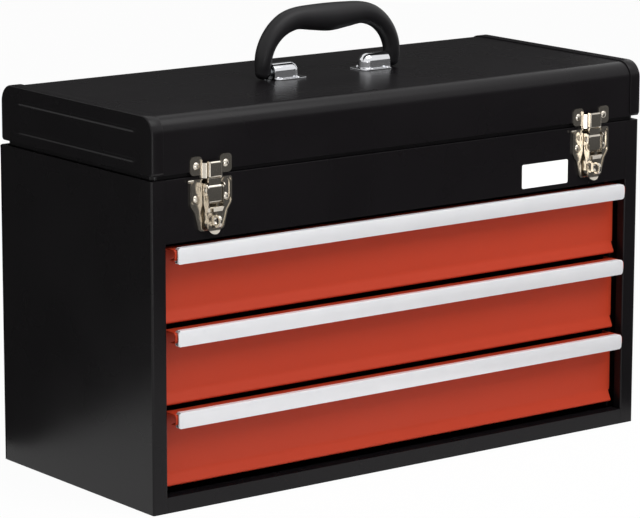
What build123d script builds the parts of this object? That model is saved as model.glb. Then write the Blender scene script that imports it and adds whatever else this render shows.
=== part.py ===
from build123d import *
from math import cos, radians, sin
import os

# Portable steel tool box: a cabinet with three ball-bearing drawers, an open top tray under a hinged
# lid, two draw latches with padlock eyes and a folding carrying handle.
# Millimetres. X is the width, the front looks along -Y, Z is up, and the origin is the middle of the
# face that the box stands on.

# --- overall sizes -------------------------------------------------------------------------------
WIDTH = 510.0            # over the side panels
DEPTH = 220.0            # over the front frame and the back panel
CABINET_HEIGHT = 269.0   # top edge of the cabinet's walls
LID_GAP = 4.0            # shadow gap between the cabinet and the lid
LID_HEIGHT = 47.0        # from the lid's lower edge to its top
SHEET = 0.8              # body sheet steel
BEND = 0.8               # inside radius of a bend in the body sheet
WELD_FLANGE = 12.0       # width of a spot-welded flange

# --- cabinet -------------------------------------------------------------------------------------
STILE = 14.0             # width of the front frame beside the drawers
SILL_HEIGHT = 13.0       # front rail under the drawers
HEADER_HEIGHT = 51.0     # front panel over the drawers
STILE_RETURN = 9.0       # depth of the stile's return flange
SHELF = 12.0             # depth of the header's and the sill's return flange
BUTT_GAP = 0.1           # seam between the header and a stile
BACK_DROP = 0.5          # the back panel ends this far under the cabinet's top edge

# --- top tray ------------------------------------------------------------------------------------
TRAY_GAP = 3.0           # top tray to the side and front walls
TRAY_BACK_GAP = 6.0      # top tray to the back panel, which leaves room for the hinge
TRAY_RISE = 6.5          # how far the top tray's rim stands above the cabinet
TRAY_CORNER = 4.0        # outside corner radius of a tray
TRAY_HEM = 6.0           # height of a folded rim

# --- drawers -------------------------------------------------------------------------------------
DRAWERS = ("top", "middle", "bottom")
FRONT_CLEARANCE = 3.0    # drawer front to stile, each side
TOP_GAP = 3.1            # header to the first pull strip
DRAWER_GAP = 3.4         # pull strip to the drawer above
SILL_GAP = 6.1           # sill to the last drawer
FRONT_RECESS = 12.0      # drawer front behind the cabinet's front
LIP_FLARE = 4.8          # how far the lower lip comes forward
LIP_HEIGHT = 10.0
LIP_RETURN = 7.0         # fold under the lower lip
FRONT_SIDE = 10.0        # depth of the folded sides of a drawer front
PULL_HEIGHT = 13.0       # aluminium pull strip
PULL_OUT = 7.1           # how far the strip stands out of the cabinet's front
PULL_WALL = 1.2
PULL_LIP = 5.2           # the strip's upper lip, over the flange
PULL_HOOK = 4.9          # the strip's lower return
PULL_HOOK_RISE = 2.8
PULL_BOW = 0.7           # the strip's front is slightly convex
PULL_CORNER = 2.5        # rounded corners at the strip's ends
CURL = 7.4               # height of the flange's rolled edge, inside the strip
CURL_DEPTH = 5.6
CURL_BEND = 2.2
FLANGE_SETBACK = 1.5     # the flange stops this far inside the strip's end
SLIDE_WIDTH = 13.0       # space for a slide beside a drawer's tray
DRAWER_TRAY_RAISE = 2.1  # tray's floor above the lip
DRAWER_TRAY_DEPTH = 52.0
DRAWER_BACK_GAP = 15.0   # drawer tray to the back panel
TRAVEL = 137.0           # how far a drawer pulls out

# --- ball-bearing slides -------------------------------------------------------------------------
RAIL_WALL = 1.0
RAIL_HEIGHT = 27.0       # outer member
RAIL_DEPTH = 9.5
RAIL_LIP = 2.0
RAIL_SETBACK = 24.0      # front end of a rail behind the cabinet's front
RAIL_LENGTH = 182.0
INNER_HEIGHT = 17.0      # inner member
INNER_DEPTH = 9.6
BALL_RADIUS = 1.9
BALL_CLEARANCE = 0.1     # ball to its hole, and to each race
BALLS = 2                # in each row of a cage
BALL_INSET = 6.0         # first ball from the end of its cage
BALL_SIDE = 6.0          # centre of the balls from the outer member's back
CAGE_WALL = 0.6
CAGE_BACK = 0.8          # cage to the outer member's back
CAGE_DEPTH = 6.6
CAGE_LENGTH = 45.0
CHANNEL_WIDTH = 24.0     # hat channel that carries the slides
CHANNEL_FLANGE = 8.0
CHANNEL_PLACES = (30.0, 185.0)   # middles of the channels from the cabinet's front

# --- lid -----------------------------------------------------------------------------------------
LID_PROUD = 0.6          # lid sheet in front of the cabinet's front
LID_SHORT = 3.2          # lid sheet short of the cabinet's back
LID_RADIUS = 14.8        # outer radius of the long edges, on the end caps
CAP_SHEET = 1.0
CAP_LAP = 11.0           # width of the end caps' flange
CAP_EDGE = 1.5           # pressed radius round an end cap
CAP_HEEL = 3.0           # corner radius at the cap's lower corners
LID_HEM = 8.0
BEAD_RADIUS = 4.0        # two pressed beads on each end cap
BEAD_DEPTH = 1.1
BEAD_HALF_LENGTH = 80.0
BEAD_DROPS = (13.0, 37.0)   # middles of the beads below the lid's top

# --- piano hinge ---------------------------------------------------------------------------------
HINGE_LENGTH = 480.0
KNUCKLES = 12
KNUCKLE_GAP = 0.3
HINGE_SHEET = 0.8
HINGE_BORE = 1.2         # radius in the knuckles
PIN_CLEARANCE = 0.05     # radial running clearance of every pivot
LEAF_HEIGHT = 19.0
KNUCKLE_ROOM = 0.4       # leaf and panel edges to the other leaf's knuckles
HINGE_RIVETS = 8
HINGE_RIVET_INSET = 5.7  # rivets from the leaf's outer edge

# --- lid stays -----------------------------------------------------------------------------------
STAY_ARM = 42.0          # both studs are this far from the hinge's axis
STAY_LID_ANGLE = 135.0   # direction of the lid's stud seen from the axis
STAY_CASE_ANGLE = 185.0  # direction of the tray's stud seen from the axis
STAY_WIDTH = 10.0
STAY_SHEET = 1.2
STAY_STUD = 2.0          # radius of both studs
STAY_SLOT_CLEARANCE = 0.1
STAY_SIDE_GAP = 0.6      # arm to the tray's wall and to the stud's head
STUD_HEAD = 3.5
STUD_HEAD_HEIGHT = 1.0
LID_OPEN = 95.0          # degrees

# --- rivets --------------------------------------------------------------------------------------
RIVET_HEAD = 2.4         # radius
RIVET_RISE = 1.0

# --- handle --------------------------------------------------------------------------------------
HANDLE_SHIFT = 0.0       # handle from the middle of the lid's depth
PIVOT_RISE = 6.2         # handle's axis above the lid sheet
STUD_RADIUS = 6.0        # handle's end studs
STUD_FLOAT = 0.3         # end play of the studs
SPIGOT_RADIUS = 3.2      # thinner end of a stud, moulded into the grip
SPIGOT_LENGTH = 10.0
SADDLE_WALL = 1.44
SADDLE_CLEARANCE = 0.06  # radial running clearance
SADDLE_INNER = 34.0      # inner end of the saddle from the middle
SADDLE_OUTER = 60.8      # outer end
SADDLE_BASE = 1.2        # thickness of the saddle's flange
SADDLE_FLANGE = 4.4      # width of the flange on three sides
SADDLE_RIVET = 1.7       # radius of the rivets' heads
SADDLE_RIVET_INSET = 5.0 # rivets from the ends of the saddle
FOOT_HALF = 6.8          # half width of the grip's foot across the box
FOOT_RADIUS = 5.8        # the foot turns inside this radius
FOOT_PLACE = 68.0        # middle of a foot from the middle of the handle
SHOULDER_GAP = 0.2       # stud's shoulder to the foot
GRIP_STATIONS = (        # across, height over the axis, lean, half width and half depth of a section
    (67.9, 7.0, 0.0, 6.8, 7.2),
    (67.2, 14.5, 8.0, 7.1, 8.0),
    (64.6, 22.4, 20.0, 7.5, 8.4),
    (59.8, 29.6, 34.0, 8.0, 8.7),
    (53.3, 35.5, 47.0, 8.5, 9.0),
    (44.5, 40.2, 66.0, 9.0, 9.2),
    (33.3, 42.8, 88.0, 9.35, 9.4),
    (18.0, 42.4, 91.5, 10.7, 10.6),
    (0.0, 41.6, 90.0, 11.8, 11.5),
)

# --- latches -------------------------------------------------------------------------------------
LATCH_INSET = 56.0       # middle of a latch from the outside of the box
LATCH_SHEET = 1.0
LATCH_HALF = 20.0        # half width of the base and of the catch
BASE_DROP = 2.0          # top of the base below the cabinet's top edge
BASE_HEIGHT = 42.0
BASE_TOE_HALF = 12.0     # half width at the base's lower end
BASE_RIM = 1.0           # width of the raised rim
BASE_RIM_RISE = 0.8
LATCH_RIVET = 3.0        # radius of the heads on the base and the catch
LATCH_RIVET_RISE = 1.5
OVAL_PLACE = 14.4        # pressed oval beside the lever
OVAL_HALF = 4.4
OVAL_LENGTH = 19.5
OVAL_DROP = 1.0          # oval's top below the base's top
OVAL_RIM = 1.1
BASE_WAIST = 21.0        # where the base starts to taper, above its lower end
BASE_ANKLE = 15.1        # end of the first taper
BASE_ANKLE_IN = 4.0      # how much narrower each side is there
BASE_CORNERS = (2.0, 4.0, 4.0, 3.5)   # radii from the top corner down to the toe
SIDE_PEG = 1.2           # radius of the short peg at the base's upper corner
SIDE_PEG_LENGTH = 2.6
PIVOT_Y = 5.5            # lever's axis in front of the cabinet
PIVOT_DROP = 10.5        # lever's axis below the cabinet's top edge
CLAW_PIVOT_BACK = 0.9    # the claw's axis lies over centre, behind the lever's
CLAW_PIVOT_DROP = 8.5    # claw's axis below the lever's
PIVOT_RADIUS = 1.5
CLAW_PIN_RADIUS = 1.4
EAR_HALF_HEIGHT = 5.0
EAR_NOSE = 3.2           # ear in front of the lever's axis
EAR_CORNER = 3.0
EAR_GAP = 0.3            # ear to cheek
PIVOT_HEAD = 2.6
CHEEK_GAP = 0.6          # cheek to claw
CLAW_HALF = 6.0          # half width of the claw
CLAW_WALL = 1.2
CLAW_EYE_WALL = 1.55
CHEEK_FRONT = 3.1        # cheek in front of the lever's axis
CHEEK_BACK = 3.5
CHEEK_TOP = 3.6
CHEEK_CORNER = 3.0
TAIL_STEP = 14.3         # start of the lever's web below its axis
TAIL_SET = 0.7           # tail's face in front of the lever's axis
TAIL_SLOPE = 3.7
TAIL_LENGTH = 35.9       # end of the tail below the lever's axis
TAIL_HALF = 6.2
TAIL_FLICK = 1.4         # the tail's end turns out for a finger
TAIL_NECK = 5.0          # height over which the tail narrows below the slope
TAIL_EASE = 2.0          # radius of the lever's shoulders
CHEEK_TOE = 3.0          # cheeks reach this far below the claw's axis and the slope
SLOT_HALF = 3.0
SLOT_CLEARANCE = 1.6     # tail's slot to the padlock eye, above and below
EYE_DROP = 24.9          # padlock eye below the lever's axis
EYE_BORE = 3.2           # radius of the eye
EYE_WALL = 2.0
EYE_HALF = 1.2           # half thickness of the staple
EYE_SHANK_HALF = 4.2     # half height of the staple's foot
EYE_CLEARANCE = 0.6      # eye's bore to the tail's face
CATCH_LOBE = 11.5        # width of a riveted lobe
CATCH_LOBE_HEIGHT = 15.0
CATCH_LOBE_CORNER = 3.5
CATCH_TOP = 12.0         # top of the lobes above the lid's lower edge
CATCH_LIP_TOP = 6.5      # top of the hooked lip above the lid's lower edge
CATCH_LIP_HEIGHT = 12.0
CATCH_STAND = 2.4        # lip in front of the catch plate
CATCH_FLANK = 2.4        # width of the sloping flank beside the lip
HOOK_GAP = 0.3           # claw's nose to the lip
HOOK_RISE = 1.5          # claw's top above the lip
STRAP_OUT = 4.2          # strap's upper front in front of the lip
STRAP_SIDE = 3.5         # depth of the strap's folded sides
STRAP_EDGE = 0.8         # radius of its upper edges
JOG_LOW, JOG_HIGH = 2.0, 8.7   # pressed step in the strap, above the lever's axis
JOG_DEPTH = 1.0
JOG_SLOPE = 1.3          # height over which the step runs in
JOG_SHOULDER = 1.8       # height over which it runs out

# --- bare plate on the header --------------------------------------------------------------------
PLATE_INSET = 106.0      # middle of the plate from the outside of the box
PLATE_WIDTH = 51.0
PLATE_HEIGHT = 20.5
PLATE_RISE = 4.0         # above the header's lower edge
PLATE_SHEET = 0.4
PLATE_CORNER = 1.5

# --- planes and heights that the sizes give -------------------------------------------------------
side = WIDTH / 2
front = -DEPTH / 2
back = DEPTH / 2
opening_half = side - STILE
opening_top = CABINET_HEIGHT - HEADER_HEIGHT
lid_bottom = CABINET_HEIGHT + LID_GAP
lid_top = lid_bottom + LID_HEIGHT
lid_sheet_top = lid_top - CAP_SHEET
lid_front = front - LID_PROUD
lid_back = back - LID_SHORT
lid_middle = (lid_front + lid_back) / 2 + HANDLE_SHIFT
tray_seat = opening_top + SHEET
tray_rim = CABINET_HEIGHT + TRAY_RISE
tray_half = side - SHEET - TRAY_GAP

front_face = front + FRONT_RECESS
front_half = opening_half - FRONT_CLEARANCE
front_height = (opening_top - SILL_HEIGHT - TOP_GAP - SILL_GAP - 2 * DRAWER_GAP) / len(DRAWERS)
drawer_half = opening_half - SLIDE_WIDTH
drawer_back = back - DRAWER_BACK_GAP

hinge_y = back + HINGE_SHEET - (HINGE_BORE + HINGE_SHEET)
hinge_z = CABINET_HEIGHT + LID_GAP / 2
handle_z = lid_sheet_top + PIVOT_RISE
lever_y = front - PIVOT_Y
lever_z = CABINET_HEIGHT - PIVOT_DROP
claw_y = lever_y + CLAW_PIVOT_BACK
claw_z = lever_z - CLAW_PIVOT_DROP


def drawer_levels(index):
    """Lower and upper edge of one drawer front, counted from the top."""
    upper = opening_top - TOP_GAP - index * (front_height + DRAWER_GAP)
    return upper - front_height, upper


# --- shapes used by many pieces -------------------------------------------------------------------
def block(x, y, z):
    """A box from three pairs of limits."""
    return Pos(x[0], y[0], z[0]) * Box(
        x[1] - x[0], y[1] - y[0], z[1] - z[0], align=(Align.MIN, Align.MIN, Align.MIN)
    )


def along_x(face, x):
    """A profile drawn in Y and Z, carried from x[0] to x[1]."""
    return extrude(Plane.YZ.offset(x[0]) * face, amount=x[1] - x[0], dir=(1, 0, 0))


def along_y(face, y):
    """A profile drawn in X and Z, carried from y[0] to y[1]."""
    return extrude(Plane.XZ.offset(-y[1]) * face, amount=y[1] - y[0], dir=(0, -1, 0))


def along_z(face, z):
    """A profile drawn in X and Y, carried from z[0] to z[1]."""
    return extrude(Plane.XY.offset(z[0]) * face, amount=z[1] - z[0], dir=(0, 0, 1))


def outline(points, radii):
    """A closed face with a fillet at each corner."""
    return make_face(FilletPolyline(*points, radius=radii, close=True))


def bent_sheet(path, thickness, bends=BEND):
    """Section of a folded sheet: the path is one face, and a positive thickness lies to its left."""
    points = [Vector(*point) for point in path]
    wall = abs(thickness)
    turns = len(points) - 2
    bends = [bends] * turns if isinstance(bends, (int, float)) else bends
    ways = [(b - a).normalized() for a, b in zip(points, points[1:])]
    lefts = [Vector(-way.Y, way.X) for way in ways]
    other = [points[0] + lefts[0] * thickness]
    near, far = [], []
    for index in range(turns):
        corner, one, two = points[index + 1], lefts[index], lefts[index + 1]
        other.append(corner + (one + two) * (thickness / (1 + one.dot(two))))
        turns_left = ways[index].cross(ways[index + 1]).Z > 0
        inside = turns_left == (thickness > 0)
        near.append(bends[index] + (wall if inside else 0))
        far.append(bends[index] + (0 if inside else wall))
    other.append(points[-1] + lefts[-1] * thickness)
    radii = [0, *near, 0, 0, *reversed(far), 0]
    return outline([(p.X, p.Y) for p in [*points, *reversed(other)]], radii)


def disc(radius, centre):
    return Pos(*centre) * Circle(radius)


def ring(outer, inner, centre):
    return Pos(*centre) * (Circle(outer) - Circle(inner))


def slot(half, low, high, place=0.0):
    """An upright slot with round ends, from low to high."""
    return Pos(place, (low + high) / 2) * RectangleRounded(2 * half, high - low, half * 0.999)


def open_box(half, y, z, hem, wall=SHEET):
    """A tray of sheet with rounded corners and a rim folded outwards."""
    middle, length = (y[0] + y[1]) / 2, y[1] - y[0]

    def layer(grow, low, high):
        size = (2 * (half + grow), length + 2 * grow)
        return along_z(Pos(0, middle) * RectangleRounded(*size, TRAY_CORNER + grow), (low, high))

    tray = layer(0, *z) + layer(wall, z[1] - hem, z[1])
    return tray - layer(-wall, z[0] + wall, z[1])


def rivet(place, way, head=RIVET_HEAD, rise=RIVET_RISE):
    """A domed head that sits on a surface at place and rises along way."""
    dome = head * head / (2 * rise) + rise / 2
    half = make_face(
        Polyline((0, rise), (0, 0), (head, 0)) + RadiusArc((head, 0), (0, rise), -dome)
    )
    turned = revolve(Plane.XZ * half, Axis.Z)
    return Plane(origin=place, z_dir=way).location * turned


def mirrored(shape):
    """The same piece on the other side of the box."""
    return mirror(shape, Plane.YZ)


def group(shapes):
    """Separate solids that share one node."""
    return Compound([solid for shape in shapes for solid in shape.solids()])


# --- cabinet -------------------------------------------------------------------------------------
def side_panel():
    """Left side: one sheet folded into the front stile, with a flange under the back panel."""
    inner = -opening_half
    path = [
        (inner, front + STILE_RETURN),
        (inner, front),
        (-side, front),
        (-side, back - SHEET),
        (-side + WELD_FLANGE, back - SHEET),
    ]
    panel = along_z(bent_sheet(path, -SHEET), (0, CABINET_HEIGHT))
    behind = (front + SHEET, front + STILE_RETURN)
    strip = (inner - SHEET - BEND, inner)
    for z in ((0, SILL_HEIGHT), (opening_top, CABINET_HEIGHT)):
        panel -= block(strip, behind, z)
        flat = block((inner - 2 * SHEET - BEND, inner), (front, front + SHEET), z)
        panel += flat
    return panel


def front_bar(z, shelf_z, hem_z=None):
    """Front sheet between the stiles, with tabs behind them and a flange that runs inwards."""
    half = opening_half - BUTT_GAP
    behind = (front + SHEET, front + 2 * SHEET)
    tab_end = side - SHEET - BEND
    bar = block((-half, half), (front, front + SHEET), z)
    for x in ((-tab_end, -half + WELD_FLANGE), (half - WELD_FLANGE, tab_end)):
        bar += block(x, behind, z)
    if hem_z:
        bar += block((-tab_end, tab_end), behind, hem_z)
    return bar + block((-half, half), (front, front + SHELF), shelf_z)


def front_header():
    top = (CABINET_HEIGHT - LID_HEM, CABINET_HEIGHT)
    bar = front_bar((opening_top, CABINET_HEIGHT), (opening_top, tray_seat), top)
    upper = bar.edges().group_by(Axis.Z)[-1].filter_by(Axis.X).group_by(Axis.Y)[0]
    return fillet(upper, SHEET / 2)


def base_pan():
    """Bottom sheet with its sill, and flanges welded to the side and back panels."""
    inner = side - SHEET
    bar = front_bar((0, SILL_HEIGHT), (SILL_HEIGHT - SHEET, SILL_HEIGHT))
    floor = block((-inner, inner), (front + SHEET, back - 2 * SHEET), (0, SHEET))
    pan = bar + fillet(floor.edges().filter_by(Axis.Z), BEND)
    rear_half = side - WELD_FLANGE - SHEET
    pan += block((-rear_half, rear_half), (back - 2 * SHEET, back - SHEET), (0, WELD_FLANGE))
    for x in ((-inner, -inner + SHEET), (inner - SHEET, inner)):
        pan += block(x, (front + 3 * SHEET, back - 3 * SHEET), (0, WELD_FLANGE))
    return pan


def back_panel():
    return block((-side, side), (back - SHEET, back), (0, CABINET_HEIGHT - BACK_DROP))


def top_tray():
    y = (front + SHEET + TRAY_GAP, back - SHEET - TRAY_BACK_GAP)
    return open_box(tray_half, y, (tray_seat, tray_rim), TRAY_HEM)


def slide_channels():
    """Four upright hat channels that carry the slides and the top tray."""
    outer = -(side - 2 * SHEET)
    inner = -opening_half
    reach = CHANNEL_WIDTH / 2
    channels = []
    for place in CHANNEL_PLACES:
        middle = front + place
        path = [
            (outer, middle - reach - CHANNEL_FLANGE),
            (outer, middle - reach),
            (inner, middle - reach),
            (inner, middle + reach),
            (outer, middle + reach),
            (outer, middle + reach + CHANNEL_FLANGE),
        ]
        channel = along_z(bent_sheet(path, SHEET), (WELD_FLANGE, tray_seat))
        channels += [channel, mirrored(channel)]
    return group(channels)


def header_plate():
    low = opening_top + PLATE_RISE
    face = RectangleRounded(PLATE_WIDTH, PLATE_HEIGHT, PLATE_CORNER)
    return along_y(Pos(side - PLATE_INSET, low + PLATE_HEIGHT / 2) * face, (front - PLATE_SHEET, front))


# --- slides --------------------------------------------------------------------------------------
def rail_middle(index):
    low, _ = drawer_levels(index)
    return low + DRAWER_TRAY_RAISE + DRAWER_TRAY_DEPTH / 2


rail_front = front + RAIL_SETBACK
rail_span = (rail_front, rail_front + RAIL_LENGTH)
race_out = RAIL_HEIGHT / 2 - RAIL_WALL
race_in = INNER_HEIGHT / 2
race_middle = (race_out + race_in) / 2
cage_middle = rail_front + (RAIL_LENGTH - TRAVEL) / 2 + TRAVEL / 2


def outer_rail(index):
    """Left outer member: a C that opens towards the drawer, with lips that keep the balls in."""
    z, reach = rail_middle(index), RAIL_HEIGHT / 2
    wall, mouth = -opening_half, -opening_half + RAIL_DEPTH
    path = [
        (mouth, z - reach + RAIL_LIP),
        (mouth, z - reach),
        (wall, z - reach),
        (wall, z + reach),
        (mouth, z + reach),
        (mouth, z + reach - RAIL_LIP),
    ]
    return along_y(bent_sheet(path, -RAIL_WALL, RAIL_WALL / 2), rail_span)


def inner_rail(index):
    """Left inner member: a smaller C on the drawer's side."""
    z, reach = rail_middle(index), race_in
    wall, mouth = -drawer_half, -drawer_half - INNER_DEPTH
    path = [
        (mouth, z + reach - RAIL_LIP),
        (mouth, z + reach),
        (wall, z + reach),
        (wall, z - reach),
        (mouth, z - reach),
        (mouth, z - reach + RAIL_LIP),
    ]
    return along_y(bent_sheet(path, -RAIL_WALL, RAIL_WALL / 2), rail_span)


def ball_places(index):
    z = rail_middle(index)
    x = -opening_half + BALL_SIDE
    step = (CAGE_LENGTH - 2 * BALL_INSET) / (BALLS - 1)
    first = cage_middle - CAGE_LENGTH / 2 + BALL_INSET
    return [(x, first + step * n, z + way * race_middle) for n in range(BALLS) for way in (1, -1)]


def ball_cage(index):
    """Left cage: a thin C between the two members, with a hole for each ball."""
    z, reach = rail_middle(index), race_middle + CAGE_WALL / 2
    wall = -opening_half + RAIL_WALL + CAGE_BACK
    mouth = wall + CAGE_DEPTH
    path = [(mouth, z - reach), (wall, z - reach), (wall, z + reach), (mouth, z + reach)]
    span = (cage_middle - CAGE_LENGTH / 2, cage_middle + CAGE_LENGTH / 2)
    cage = along_y(bent_sheet(path, -CAGE_WALL, CAGE_WALL / 2), span)
    for x, y, hole_z in ball_places(index):
        hole = disc(BALL_RADIUS + BALL_CLEARANCE, (x, y))
        cage -= along_z(hole, (hole_z - 2 * CAGE_WALL, hole_z + 2 * CAGE_WALL))
    return cage


def slide_balls(index):
    return group([Pos(*place) * Sphere(BALL_RADIUS) for place in ball_places(index)])


# --- drawers -------------------------------------------------------------------------------------
def drawer_front(index):
    """Folded sheet: lip, panel, flange over the finger gap and a curl inside the pull strip."""
    low, high = drawer_levels(index)
    flange = high - PULL_WALL - SHEET
    curl = front - PULL_OUT + PULL_BOW + PULL_WALL + SHEET
    path = [
        (front_face - LIP_FLARE + LIP_RETURN, low),
        (front_face - LIP_FLARE, low),
        (front_face, low + LIP_HEIGHT),
        (front_face, flange),
        (curl, flange),
        (curl, flange - CURL),
        (curl + CURL_DEPTH, flange - CURL),
    ]
    skin = bent_sheet(path, -SHEET, [BEND, LIP_HEIGHT, 2 * BEND, CURL_BEND, CURL_BEND])
    half = front_half - FLANGE_SETBACK
    piece = along_x(skin, (-half, half))
    panel_z = (low + LIP_HEIGHT, flange)
    depth = (front_face, front_face + FRONT_SIDE)
    for x in ((-front_half, -front_half + SHEET), (front_half - SHEET, front_half)):
        piece += block(x, depth, panel_z)
    for x in ((-front_half, -half), (half, front_half)):
        piece += block(x, (front_face, front_face + SHEET), panel_z)
    return piece


def drawer_pull(index):
    """Extruded aluminium strip: lip over the flange, bowed face, hook for the fingers."""
    _, high = drawer_levels(index)
    low, face = high - PULL_HEIGHT, front - PULL_OUT
    edge = face + PULL_BOW
    path = [
        (edge + PULL_LIP, high),
        (edge, high),
        (face, (low + high) / 2),
        (edge, low),
        (edge + PULL_HOOK, low),
        (edge + PULL_HOOK, low + PULL_HOOK_RISE),
    ]
    bar = along_x(bent_sheet(path, PULL_WALL, [0.3, PULL_HEIGHT, 0.6, 0.3]), (-front_half, front_half))
    shape = RectangleRounded(2 * front_half, PULL_HEIGHT, PULL_CORNER)
    return bar & along_y(Pos(0, (low + high) / 2) * shape, (face - 1, edge + PULL_LIP + 1))


def drawer_tray(index):
    low, _ = drawer_levels(index)
    floor = low + DRAWER_TRAY_RAISE
    y = (front_face + 2 * SHEET, drawer_back)
    return open_box(drawer_half, y, (floor, floor + DRAWER_TRAY_DEPTH), TRAY_HEM)


def both(piece):
    return group([piece, mirrored(piece)])


# --- lid -----------------------------------------------------------------------------------------
def lid_sheet():
    """Front, top and back of the lid from one sheet, with a hem along the front edge."""
    path = [
        (lid_front, lid_bottom),
        (lid_front, lid_sheet_top),
        (lid_back, lid_sheet_top),
        (lid_back, lid_bottom),
    ]
    x = (-side + CAP_SHEET, side - CAP_SHEET)
    skin = along_x(bent_sheet(path, -SHEET, LID_RADIUS - CAP_SHEET - SHEET), x)
    hem_y = (lid_front + SHEET / 2, lid_front + 2 * SHEET)
    return skin + block(x, hem_y, (lid_bottom, lid_bottom + LID_HEM))


def lid_outline(grow, radius, heel):
    """The lid's end seen from the side, grown from the outside of the lid sheet."""
    y = (lid_front - grow, lid_back + grow)
    top = lid_sheet_top + grow
    points = [(y[0], lid_bottom), (y[0], top), (y[1], top), (y[1], lid_bottom)]
    return outline(points, [heel, radius, radius, heel])


def bead(radius, drop):
    """A rod with round ends, centred outside the left end cap."""
    x = -side - (BEAD_RADIUS - BEAD_DEPTH)
    centre = Pos(x, lid_middle, lid_top - drop)
    rod = centre * Rot(90, 0, 0) * Cylinder(radius, 2 * BEAD_HALF_LENGTH)
    for end in (-BEAD_HALF_LENGTH, BEAD_HALF_LENGTH):
        rod += centre * Pos(0, end, 0) * Sphere(radius)
    return rod


def lid_end_cap():
    """Left end: a pressed cap whose flange laps over the lid sheet, with two long beads."""
    body = along_x(lid_outline(CAP_SHEET, LID_RADIUS, CAP_HEEL), (-side, -side + CAP_LAP))
    rim = body.faces().sort_by(Axis.X)[0].edges()
    rim = [edge for edge in rim if edge.center().Z > lid_bottom + CAP_HEEL + CAP_EDGE]
    body = fillet(rim, CAP_EDGE)
    inside = outline(
        [
            (lid_front, lid_bottom - CAP_HEEL),
            (lid_front, lid_sheet_top),
            (lid_back, lid_sheet_top),
            (lid_back, lid_bottom - CAP_HEEL),
        ],
        [0, LID_RADIUS - CAP_SHEET, LID_RADIUS - CAP_SHEET, 0],
    )
    cap = body - along_x(inside, (-side + CAP_SHEET, -side + CAP_LAP + 1))
    inner_face = -side + CAP_SHEET
    room = block(
        (inner_face - CAP_SHEET / 2, inner_face + 2 * BEAD_RADIUS),
        (lid_front, lid_back),
        (lid_bottom, lid_top),
    )
    for drop in BEAD_DROPS:
        cap += bead(BEAD_RADIUS + CAP_SHEET, drop) & room
    for drop in BEAD_DROPS:
        cap -= bead(BEAD_RADIUS, drop)
    return cap


# --- piano hinge ---------------------------------------------------------------------------------
def hinge_leaf(first, plate_y, edge_z, tip_z):
    """One leaf with every second knuckle; tip_z is the leaf's edge inside its own knuckles."""
    pitch = HINGE_LENGTH / KNUCKLES
    ends = (-HINGE_LENGTH / 2, HINGE_LENGTH / 2)
    inner_z = edge_z + (LEAF_HEIGHT if edge_z > hinge_z else -LEAF_HEIGHT)
    leaf = block(ends, plate_y, sorted((edge_z, inner_z)))
    for number in range(first, KNUCKLES, 2):
        start = ends[0] + number * pitch + KNUCKLE_GAP / 2
        x = (start, start + pitch - KNUCKLE_GAP)
        leaf += along_x(ring(HINGE_BORE + HINGE_SHEET, HINGE_BORE, (hinge_y, hinge_z)), x)
        leaf += block(x, plate_y, sorted((tip_z, inner_z)))
    return leaf


knuckle_reach = HINGE_BORE + HINGE_SHEET + KNUCKLE_ROOM
rivet_reach = knuckle_reach + LEAF_HEIGHT - HINGE_RIVET_INSET


def hinge_leaf_cabinet():
    plate = (back, back + HINGE_SHEET)
    return hinge_leaf(0, plate, hinge_z - knuckle_reach, hinge_z - HINGE_BORE / 2)


def hinge_leaf_lid():
    plate = (lid_back, lid_back + HINGE_SHEET)
    return hinge_leaf(1, plate, hinge_z + knuckle_reach, hinge_z + HINGE_BORE / 2)


def hinge_pin():
    pin = disc(HINGE_BORE - PIN_CLEARANCE, (hinge_y, hinge_z))
    return along_x(pin, (-HINGE_LENGTH / 2, HINGE_LENGTH / 2))


def hinge_rivets(face_y, z):
    step = HINGE_LENGTH / HINGE_RIVETS
    places = [-HINGE_LENGTH / 2 + step * (n + 0.5) for n in range(HINGE_RIVETS)]
    return group([rivet((x, face_y, z), (0, 1, 0)) for x in places])


# --- lid stays -----------------------------------------------------------------------------------
def from_hinge(angle, distance=STAY_ARM):
    return (hinge_y + distance * cos(radians(angle)), hinge_z + distance * sin(radians(angle)))


stay_lid_stud = from_hinge(STAY_LID_ANGLE)
stay_case_stud = from_hinge(STAY_CASE_ANGLE)
stay_x = -(tray_half - SHEET - STAY_SIDE_GAP)


def stud_distance(lid_angle):
    """Distance between the two studs, a chord of the circle that both lie on."""
    spread = STAY_CASE_ANGLE - STAY_LID_ANGLE + lid_angle
    return 2 * STAY_ARM * sin(radians(spread / 2))


def lid_stay():
    """Left arm: it hangs from the lid's stud, and its slot runs along the tray's stud."""
    closed, opened = stud_distance(0), stud_distance(LID_OPEN)
    slot_half = STAY_STUD + STAY_SLOT_CLEARANCE
    body = Pos(opened / 2) * SlotCenterToCenter(opened, STAY_WIDTH)
    body -= Circle(STAY_STUD + PIN_CLEARANCE)
    body -= Pos((closed + opened) / 2) * SlotCenterToCenter(opened - closed, 2 * slot_half)
    run = Vector(*stay_case_stud) - Vector(*stay_lid_stud)
    turn = Vector(1, 0).get_signed_angle(run, Vector(0, 0, 1))
    placed = Pos(*stay_lid_stud) * Rot(0, 0, turn) * body
    return along_x(placed, (stay_x, stay_x + STAY_SHEET))


def stay_stud(centre, wall_x):
    """Shouldered stud with a head outside the arm, on the left wall at wall_x."""
    head_x = stay_x + STAY_SHEET + STAY_SIDE_GAP
    stud = along_x(disc(STAY_STUD, centre), (wall_x, head_x))
    return stud + along_x(disc(STUD_HEAD, centre), (head_x, head_x + STUD_HEAD_HEIGHT))


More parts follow.
